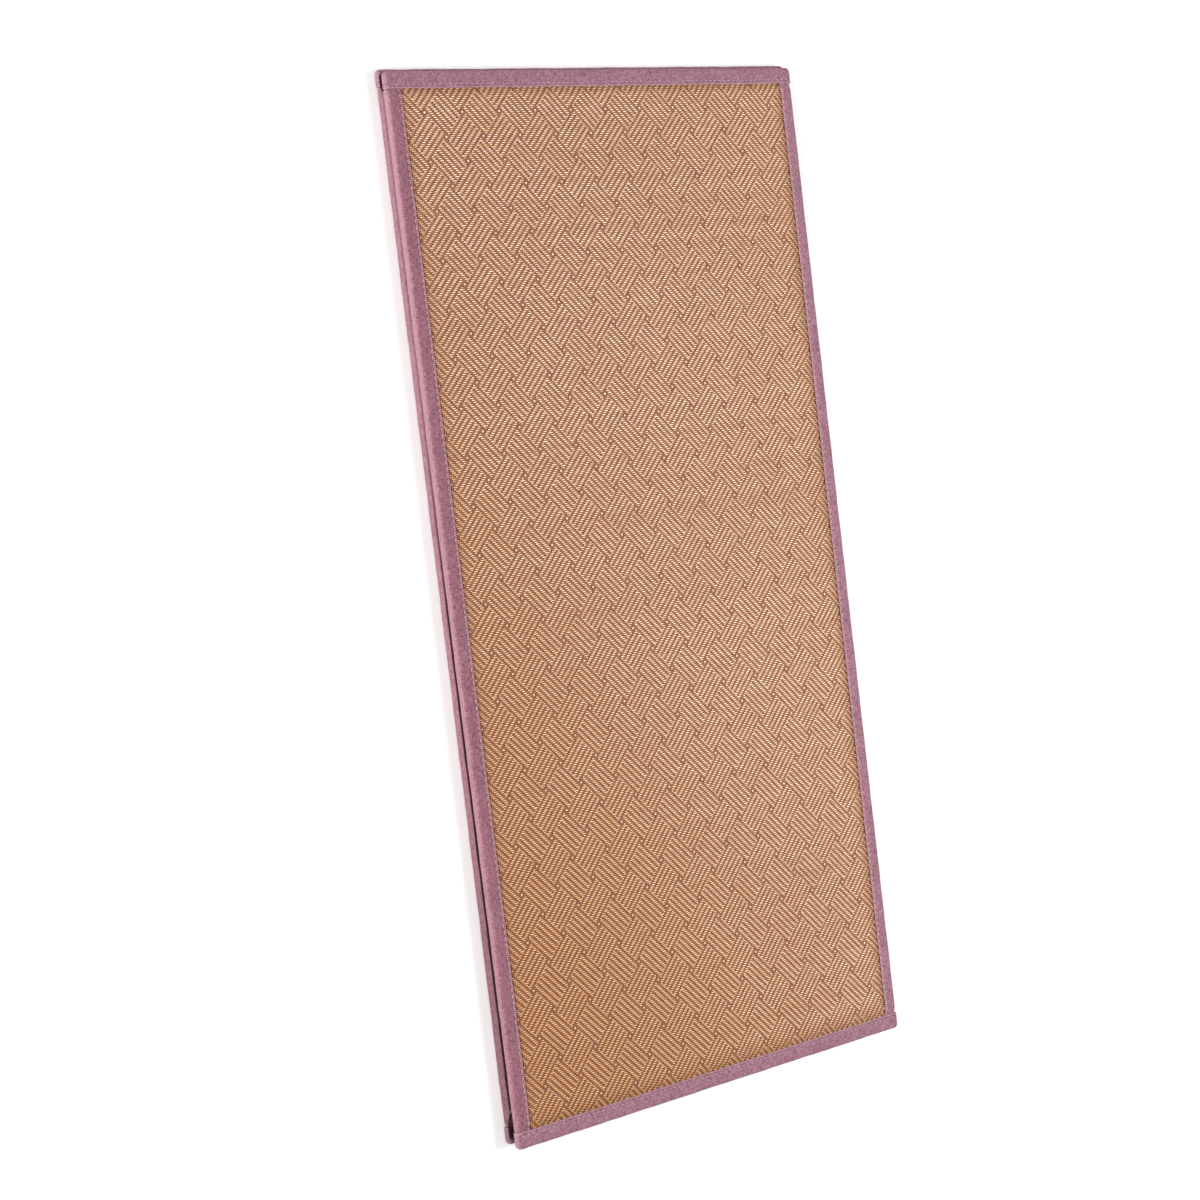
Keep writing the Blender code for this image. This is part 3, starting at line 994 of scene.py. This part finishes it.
def seam_dip(distance, seam_in):
    """How far the thread pulls the cloth down, at a distance from the tape's inner edge."""
    return SEAM_DEPTH * math.exp(-((distance - seam_in) / SEAM_REACH) ** 2)


def flap(inner_edge, towards, height, sign):
    """Points of a side tape's flap from its inner edge outwards, on the upper or lower side."""
    return [(inner_edge + towards * d, height - sign * seam_dip(d, SIDE_SEAM_IN)) for d in SIDE_FLAP]


def turning(first, last, steps=CORNER_STEPS, start=0.25, length=0.5):
    """A mask along an arc, from its first value to its last over a stretch of it."""
    return [lerp(first, last, smooth((i / steps - start) / length)) for i in range(steps + 1)]


def ripple(y, seed):
    """Small unevenness along a hand-guided tape, in metres."""
    slow, quick = math.sin(61 * y + seed), math.sin(143 * y + 2.3 * seed)
    return RIPPLE * (slow + quick + 0.7 * math.sin(271 * y + seed * 5))


# Places along a side tape, close together where it dips under the end bindings.
near_end = [TAPE_Y - CLOSE_STEP * i for i in range(CLOSE_STATIONS)]
stations = spaced(near_end, max(2, round(2 * near_end[-1] / STATION_STEP)))


# %% Side bindings on the open side
def side_section(front, y):
    half = tape_half(y)
    radius = min(EDGE_R, half - EDGE_FLAT)
    centre = WIDTH / 2 - radius + ripple(y, 1.0 + front)
    outline = flap(INNER_X, 1.0, -half, -1) + arc(centre, radius - half, radius, -90, 0)
    outline += arc(centre, half - radius, radius, 0, 90) + flap(INNER_X, 1.0, half, 1)[::-1]
    return [placed(front, x, y, z) for x, z in outline]


flap_plain = [0.0] * len(SIDE_FLAP)
# Painted shade on the flap that faces the other panel.
facing = [1.0] * len(SIDE_FLAP) + turning(1.0, 0.0, start=0.1, length=0.3)
inward_shade = facing + [0.0] * len(facing)
# Paler round the tape's rounded edge: partly wear, partly a painted highlight.
rubbed_and_lit = flap_plain + turning(0.0, 0.5) + turning(0.5, 0.0) + flap_plain
tapes, flat_sizes = {}, {}
for front, side in PANELS:
    name = f"side_tape_{side}"
    sections = [side_section(front, y) for y in stations]
    tape, flat = skin(name, sections, stations, inward_shade if front else inward_shade[::-1], rubbed_and_lit, side_binding)
    thicken(tape)
    tapes[name], flat_sizes[name] = keep_result(tape), flat
    print(name, "cut", round(flat[0] * 1000, 1), "by", round(flat[1] * 1000), "mm")


# %% The hinge strip's outline
def crease_opening(y):
    return lerp(CREASE_GAP_TOP, CREASE_GAP_BOTTOM, along(y))


def crease_middle(y):
    """Height of the crease, leaning from the back panel's side to the front's."""
    slack = space(-WIDTH / 2, y) - crease_opening(y)
    lean = lerp(CREASE_LEAN_TOP, CREASE_LEAN_BOTTOM, smooth(along(y)))
    return PAD_T + crease_opening(y) / 2 + lean * slack


def hinge_section(y):
    half = tape_half(y)
    radius = min(EDGE_R, half - EDGE_FLAT)
    fold = -WIDTH / 2
    edge = fold + SIDE_TAPE
    half_open, middle = crease_opening(y) / 2, crease_middle(y)
    depth = fold + lerp(CREASE_DEPTH_TOP, CREASE_DEPTH_BOTTOM, smooth(along(y)))
    front_bulge, back_bulge = ripple(y, 4.0), ripple(y, 9.0)

    corner = arc(fold + radius - front_bulge, half - radius, radius, 90, 180)
    outline = [placed(True, x, y, z) for x, z in flap(edge, -1.0, half, 1) + corner]
    lobe = arc(fold + EDGE_R - front_bulge, middle + half_open + EDGE_R, EDGE_R, 180, 270, LOBE_STEPS)
    outline += [(x, y + FRONT_Y, z) for x, z in lobe]
    turn = arc(depth, middle, half_open, 90, -90, CREASE_STEPS)
    outline += [(x, y + lerp(FRONT_Y, BACK_Y, i / CREASE_STEPS), z) for i, (x, z) in enumerate(turn)]
    lobe = arc(fold + EDGE_R - back_bulge, middle - half_open - EDGE_R, EDGE_R, 90, 180, LOBE_STEPS)
    corner = arc(fold + radius - back_bulge, PAD_T / 2 - half + radius, radius, 180, 270)
    outline += [(x, y + BACK_Y, z) for x, z in lobe + corner]
    return outline + [placed(False, x, y, z) for x, z in flap(edge, -1.0, -half, -1)[::-1]]


# %% The notch that parts the strip's ends
def notch_cutter(end):
    """A wedge that opens the crease before the end bindings."""
    mouth = end * (INNER_Y - NOTCH_CLEAR)
    tip = mouth - end * (NOTCH_TOP if end > 0 else NOTCH_BOTTOM)
    past = end * (LENGTH / 2 + END_TAPE)
    lobe = tape_half(mouth) - LOBE_TRIM
    front_middle, back_middle = middle_plane(True, -WIDTH / 2, mouth), PAD_T / 2
    outline = [
        (tip, crease_middle(tip)),
        (mouth + FRONT_Y, front_middle - lobe), (mouth + FRONT_Y, front_middle - TAB_REACH),
        (past, front_middle - TAB_REACH), (past, back_middle + TAB_REACH),
        (mouth + BACK_Y, back_middle + TAB_REACH), (mouth + BACK_Y, back_middle + lobe),
    ]
    bm = bmesh.new()
    left, right = -WIDTH / 2 - END_TAPE, -WIDTH / 2 + 2 * CREASE_DEPTH_BOTTOM
    face = bm.faces.new([bm.verts.new((left, y, z)) for y, z in outline])
    grown = bmesh.ops.extrude_face_region(bm, geom=[face])
    for item in grown["geom"]:
        if isinstance(item, bmesh.types.BMVert):
            item.co.x = right
    bmesh.ops.recalc_face_normals(bm, faces=bm.faces[:])
    return add_object("notch", finished_mesh(bm, "notch"))


# %% Make the hinge strip
UNDER_SHADE = 0.36


def crease_mark(y):
    """The crease opens towards the -Y end, and more painted shade shows in it there."""
    return lerp(0.05, 1.0, smooth((along(y) - 0.28) / 0.27))


# Painted shade: how far each point of a section faces into the crease, and which of them are on the lower
# panel, whose edge is painted in shade towards the -Y end.
turn_count = CREASE_STEPS + 1
lobe = np.array([0.0] * (len(SIDE_FLAP) + CORNER_STEPS + 1) + turning(0.0, 1.0, LOBE_STEPS, 0.39, 0.15))
in_crease = np.concatenate([lobe, np.ones(turn_count), lobe[::-1]])
under = np.concatenate([np.zeros(len(lobe) + turn_count), np.ones(len(lobe))])
inward_shade = [
    np.maximum(in_crease * crease_mark(y), under * UNDER_SHADE * smooth((along(y) - 0.50) / 0.40))
    for y in stations
]
# Paler round the fold: partly wear, partly a painted highlight, brightest on the front lobe beside the
# crease.
front_lobe = turning(0.0, 0.9, start=0.35) + turning(1.0, 0.3, LOBE_STEPS, 0.0, 0.6)
back_lobe = turning(0.2, 0.4, LOBE_STEPS) + turning(0.4, 0.2)
on_fold = np.array(flap_plain + front_lobe + [0.0] * turn_count + back_lobe + flap_plain)
rubbed_and_lit = [on_fold * lerp(1.0, 0.35, along(y)) for y in stations]
hinge, flat = skin(
    "hinge_tape", [hinge_section(y) for y in stations], stations, inward_shade, rubbed_and_lit, hinge_binding,
)
thicken(hinge)
cutters = [notch_cutter(1), notch_cutter(-1)]
for cutter in cutters:
    cut = hinge.modifiers.new("notch", "BOOLEAN")
    cut.operation, cut.object, cut.solver = "DIFFERENCE", cutter, "EXACT"
tapes["hinge_tape"], flat_sizes["hinge_tape"] = keep_result(hinge), flat
for cutter in cutters:
    bpy.data.objects.remove(cutter)
print("hinge_tape cut", round(flat[0] * 1000, 1), "by", round(flat[1] * 1000), "mm")
print("hinge_tape", triangles(hinge), "triangles")

# %% [markdown]
# ## Caps over the short ends
#
# The end binding goes over the side tapes and is closed at both ends, like a long pillow slip: its
# corners are rounded seen from above, and its edges are rounded all round. It is skinned from
# sections across the tape again, but towards each closed end the sections shrink along an arc
# until top and bottom meet.


# %% End bindings
CAP_COLUMNS, CAP_STEP_DEGREES = 80, 15
CAP_HALF_X = WIDTH / 2 + INSET


def cap_places():
    """Places along a cap, and how much of its half height is lost there."""
    ends = [(CAP_HALF_X, END_T / 2)]
    for degrees in range(90, -1, -CAP_STEP_DEGREES):
        angle = math.radians(degrees)
        ends.append((CAP_HALF_X - EDGE_R * (1 - math.sin(angle)), EDGE_R * (1 - math.cos(angle))))
    ends += [(CAP_HALF_X - inside, 0.0) for inside in (CORNER_R, 0.0075, 0.012)]
    inner = ends[-1][0]
    between = [(inner - 2 * inner * i / CAP_COLUMNS, 0.0) for i in range(1, CAP_COLUMNS)]
    return ends + between + [(-x, lost) for x, lost in reversed(ends)]


def cap_section(front, end, x, lost):
    half = END_T / 2 - lost
    past = max(0.0, abs(x) - (CAP_HALF_X - CORNER_R))
    outer = LENGTH / 2 - CORNER_R + math.sqrt(max(0.0, CORNER_R ** 2 - past ** 2))
    if past == 0:
        outer += ripple(x, 12.0 + end)
    radius = min(EDGE_R, half)
    shrink = half / (END_T / 2)
    outline = [(INNER_Y + d, -half + shrink * seam_dip(d, END_SEAM_IN)) for d in END_FLAP]
    outline += arc(outer - radius, radius - half, radius, -90, 0)
    outline += arc(outer - radius, half - radius, radius, 0, 90)
    outline += [(INNER_Y + d, half - shrink * seam_dip(d, END_SEAM_IN)) for d in reversed(END_FLAP)]
    return [placed(front, x, end * y, z) for y, z in outline]


def cap_masks(front, end, places):
    """How much painted shade each point of each section takes, and how much it is painted paler by wear and a
    painted highlight.
    """
    facing = np.array([1.0] * len(END_FLAP) + [0.0] * (len(END_FLAP) + 2 * CORNER_STEPS + 2))
    if not front:
        facing = facing[::-1]
    from_end = [CAP_HALF_X - abs(x) for x, lost in places]
    inward_shade = [facing * smooth((d - 0.0009) / 0.0008) for d in from_end]
    # Painted shade on the lower panel's cap near the fold.
    if not front and end < 0:
        near_fold = [1 - smooth((x + WIDTH / 2 - 0.01) / 0.05) for x, lost in places]
        inward_shade = [np.maximum(mark, UNDER_SHADE * near) for mark, near in zip(inward_shade, near_fold)]
    return inward_shade, [[0.4 * (1 - smooth(d / 0.0030))] * len(facing) for d in from_end]


for front, side in PANELS:
    for end, label in ((1, "top"), (-1, "bottom")):
        name = f"end_tape_{side}_{label}"
        places = cap_places()[::-end]
        sections = [cap_section(front, end, x, lost) for x, lost in places]
        inward_shade, rubbed_and_lit = cap_masks(front, end, places)
        runs = [0.0]
        for (x, lost), (next_x, next_lost) in zip(places, places[1:]):
            runs.append(runs[-1] + math.hypot(next_x - x, next_lost - lost))
        cap, flat = skin(name, sections, runs, inward_shade, rubbed_and_lit, end_binding)
        bm = bmesh.new()
        bm.from_mesh(cap.data)
        bmesh.ops.remove_doubles(bm, verts=bm.verts[:], dist=1e-6)
        bmesh.ops.dissolve_degenerate(bm, dist=1e-7, edges=bm.edges[:])
        bm.to_mesh(cap.data)
        bm.free()
        thicken(cap, even=False)
        tapes[name] = keep_result(cap)
        flat_sizes[name] = (2 * END_TAPE + END_T, WIDTH + 2 * INSET + END_T)
        print(name, triangles(cap), "triangles")

# %% [markdown]
# ## Stitches
#
# One row of machine stitches holds each tape down, a little in from its inner edge. The thread shows
# as short dashes that sink into the cloth at both ends. A seam line is drawn on the tape, a Geometry
# Nodes tree cuts it into stitch lengths, and a small dash lies at each point, turned along the seam.

# %% One stitch
THREAD_SIDES = 6


def make_stitch_shape():
    """A dash one unit long, six-sided, thick in the middle and sunk at its ends."""
    end, shoulder = (0.35, -0.9), (0.85, -0.15)
    profile = [(-0.5, *end), (-0.36, *shoulder), (0.0, 1.0, 0.0), (0.36, *shoulder), (0.5, *end)]
    bm = bmesh.new()
    rings = []
    for x, size, drop in profile:
        angles = [math.radians(360 / THREAD_SIDES * k) for k in range(THREAD_SIDES)]
        rings.append([bm.verts.new((x, size * math.cos(a), size * math.sin(a) + drop)) for a in angles])
    for ring, next_ring in zip(rings, rings[1:]):
        for k in range(THREAD_SIDES):
            after = (k + 1) % THREAD_SIDES
            bm.faces.new((ring[k], next_ring[k], next_ring[after], ring[after]))
    bm.faces.new(rings[0])
    bm.faces.new(rings[-1][::-1])
    bmesh.ops.recalc_face_normals(bm, faces=bm.faces[:])
    mesh = finished_mesh(bm, "stitch shape")
    mesh.shade_smooth()
    return add_object("stitch shape", mesh)


stitch_shape = make_stitch_shape()

# %% The tree that sews a seam
STITCH_LENGTH, UNEVEN_LENGTH = 0.0044, (0.92, 1.06)
THREAD_RADIUS = 0.00026
sew_tree, given, result = new_group(
    "sew a seam", "GeometryNodeTree",
    [
        ("Seam Lines", "Object", None), ("Stitch", "Object", None), ("Finish", "Material", None),
        ("Stitch Pitch", "Float", STITCH_PITCH), ("Stitch Length", "Float", STITCH_LENGTH),
        ("Thread Radius", "Float", THREAD_RADIUS), ("Seed", "Int", 3),
    ],
    [("Geometry", "Geometry")],
)
curve = add_node(sew_tree, "GeometryNodeMeshToCurve", {"Mesh": shape_of(given["Seam Lines"])})
cut_up = add_node(
    sew_tree, "GeometryNodeCurveToPoints", {"Curve": curve[0], "Length": given["Stitch Pitch"]},
    mode="LENGTH",
)
turned = add_node(
    sew_tree, "FunctionNodeAlignRotationToVector", {"Vector": cut_up["Tangent"]}, axis="X", pivot_axis="Z",
)
stitch_size = vector(
    sew_tree, X=given["Stitch Length"] * random_between(UNEVEN_LENGTH, given["Seed"]),
    Y=given["Thread Radius"], Z=given["Thread Radius"],
)
sewn = copies_on(cut_up["Points"], shape_of(given["Stitch"]), turned[0], stitch_size)
result.take({"Geometry": with_finish(sewn, given["Finish"])})


# %% Sew both faces
THREAD_ABOVE, SEAM_SHORT, SEAM_CLEAR = 0.00012, 0.006, 0.0012
SIDE_SEAM_STEPS, END_SEAM_STEPS = 160, 80


def seam_lines(front):
    """Four lines on a panel's woven side, where the thread lies on the tapes, as a mesh of edges."""
    up = 1 if front else -1
    seam_x, seam_y = INNER_X + SIDE_SEAM_IN, INNER_Y + END_SEAM_IN
    end_x, end_y = WIDTH / 2 - SEAM_SHORT, INNER_Y - SEAM_CLEAR
    side_ys = [lerp(-end_y, end_y, i / SIDE_SEAM_STEPS) for i in range(SIDE_SEAM_STEPS + 1)]
    end_xs = [lerp(-end_x, end_x, i / END_SEAM_STEPS) for i in range(END_SEAM_STEPS + 1)]
    points, edges = [], []
    for sign in (1, -1):
        for line in (
            [(sign * seam_x, y, tape_half(y)) for y in side_ys],
            [(x, sign * seam_y, END_T / 2) for x in end_xs],
        ):
            first = len(points)
            points += [placed(front, x, y, up * (half - SEAM_DEPTH + THREAD_ABOVE)) for x, y, half in line]
            edges += [(i, i + 1) for i in range(first, len(points) - 1)]
    mesh = bpy.data.meshes.new("seam lines")
    mesh.from_pydata(points, edges, [])
    return add_object("seam lines", mesh)


stitches = {}
for front, side in PANELS:
    drawn = seam_lines(front)
    stitches[front] = run_tree(f"stitches_{side}", sew_tree, {
        "Seam Lines": drawn, "Stitch": stitch_shape, "Finish": thread,
        "Stitch Pitch": STITCH_PITCH, "Stitch Length": STITCH_LENGTH, "Thread Radius": THREAD_RADIUS,
        "Seed": 3,
    })
    bpy.data.objects.remove(drawn)
    print(stitches[front].name, triangles(stitches[front]), "triangles")
bpy.data.objects.remove(stitch_shape)

# %% [markdown]
# ## Joining the frame
#
# The mat has no moving joint, so every piece rides on the one body. Each piece stands for the solid
# whose space it fills, and that solid is hidden.

# %% Ride and replace
for front, side in PANELS:
    for piece in [pads[front]] + weaves[front] + [stitches[front]]:
        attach(piece, "root")
    for piece in [pads[front]] + weaves[front]:
        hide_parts(f"panel_{side}")

stands_for = {"side_tape": "side_binding", "hinge_tape": "hinge_strip", "end_tape": "end_binding"}
for name, tape in tapes.items():
    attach(tape, "root")
    node = name
    for own, solid in stands_for.items():
        node = node.replace(own, solid)
    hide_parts(node)
    wraps = [f"pad_{side}" for front, side in PANELS if side in name or name == "hinge_tape"]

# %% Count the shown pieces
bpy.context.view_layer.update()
shown = [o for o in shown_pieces() if o.type == "MESH"]
print(len(shown), "pieces,", sum(triangles(o) for o in shown), "triangles")
